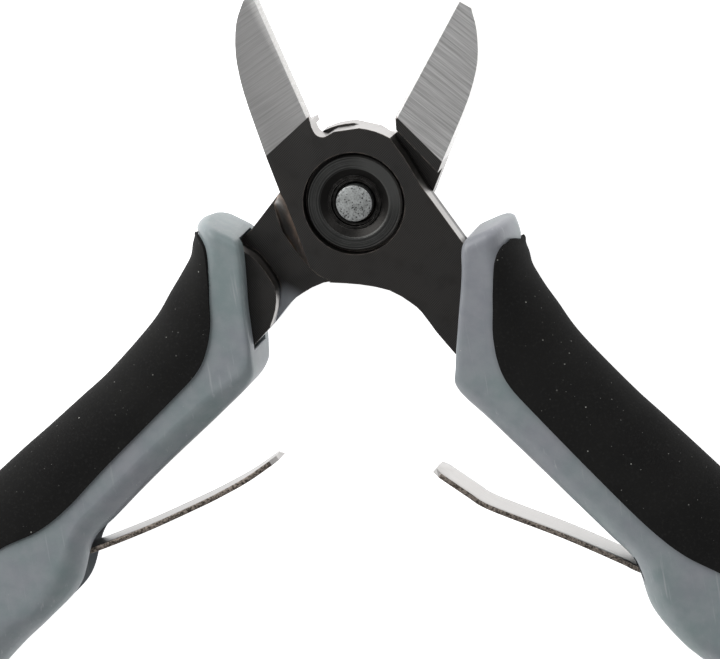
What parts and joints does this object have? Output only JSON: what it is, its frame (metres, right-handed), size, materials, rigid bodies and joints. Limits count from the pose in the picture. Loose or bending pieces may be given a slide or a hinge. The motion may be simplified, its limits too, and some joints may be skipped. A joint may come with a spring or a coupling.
{
  "type": "flush cutter",
  "caption": "Hand-held flush cutter with a lapped screw pivot, two-material moulded grips and a leaf return spring held in each grip.",
  "frame": {"origin": "centre of the pivot screw's front end, in the plane of the jaws' flush faces", "axes": "+Z out of the flush front side along the pivot axis, +Y towards the jaw tips, +X across the tool towards the front half's grip"},
  "size_m": [0.1512, 0.1203, 0.0146],
  "materials": {
    "black_steel": "blackened steel with fine grinding lines, satin",
    "turned_steel": "blackened turned steel",
    "ground_steel": "bare ground steel",
    "spring_steel": "bright rolled spring strip with sheared edges",
    "grip_shell": "satin hard moulding, grey with a blue cast",
    "grip_pad": "soft matte elastomer",
    "holder": "dark moulded plastic"
  },
  "bodies": {
    "front_arm": {"front_half": "black_steel", "pivot_screw": "ground_steel", "pivot_nut": "turned_steel", "right_grip_shell": "grip_shell", "right_grip_pad": "grip_pad", "right_tang_pin": "ground_steel"},
    "rear_arm": {"rear_half": "black_steel", "left_grip_shell": "grip_shell", "left_grip_pad": "grip_pad", "left_tang_pin": "ground_steel"},
    "right_holder": {"right_spring_holder": "holder", "right_leaf_pin": "ground_steel"},
    "left_holder": {"left_spring_holder": "holder", "left_leaf_pin": "ground_steel"},
    "right_leaf": {"right_leaf_spring": "spring_steel"},
    "left_leaf": {"left_leaf_spring": "spring_steel"}
  },
  "joints": [
    {"name": "jaw_pivot", "type": "hinge", "parent": "front_arm", "child": "rear_arm", "pos_m": [0, 0, -0.004], "axis": [0, 0, 1], "range_deg": [-6, 52], "stiffness_Nm_per_rad": 0.3},
    {"name": "right_holder_slide", "type": "slide", "parent": "front_arm", "child": "right_holder", "axis": [0.4384, -0.8988, 0], "range_m": [0, 0.004]},
    {"name": "left_holder_slide", "type": "slide", "parent": "rear_arm", "child": "left_holder", "axis": [-0.4384, -0.8988, 0], "range_m": [0, 0.004]},
    {"name": "right_leaf_flex", "type": "hinge", "parent": "right_holder", "child": "right_leaf", "pos_m": [0.04389, -0.05258, -0.004], "axis": [0, 0, 1], "range_deg": [-14.5, 2]},
    {"name": "left_leaf_flex", "type": "hinge", "parent": "left_holder", "child": "left_leaf", "pos_m": [-0.04389, -0.05258, -0.004], "axis": [0, 0, 1], "range_deg": [-2, 14.5]}
  ],
  "couplings": [
    {"joint": "right_leaf_flex", "follows": "jaw_pivot", "ratio": -0.267},
    {"joint": "left_leaf_flex", "follows": "jaw_pivot", "ratio": 0.267}
  ]
}
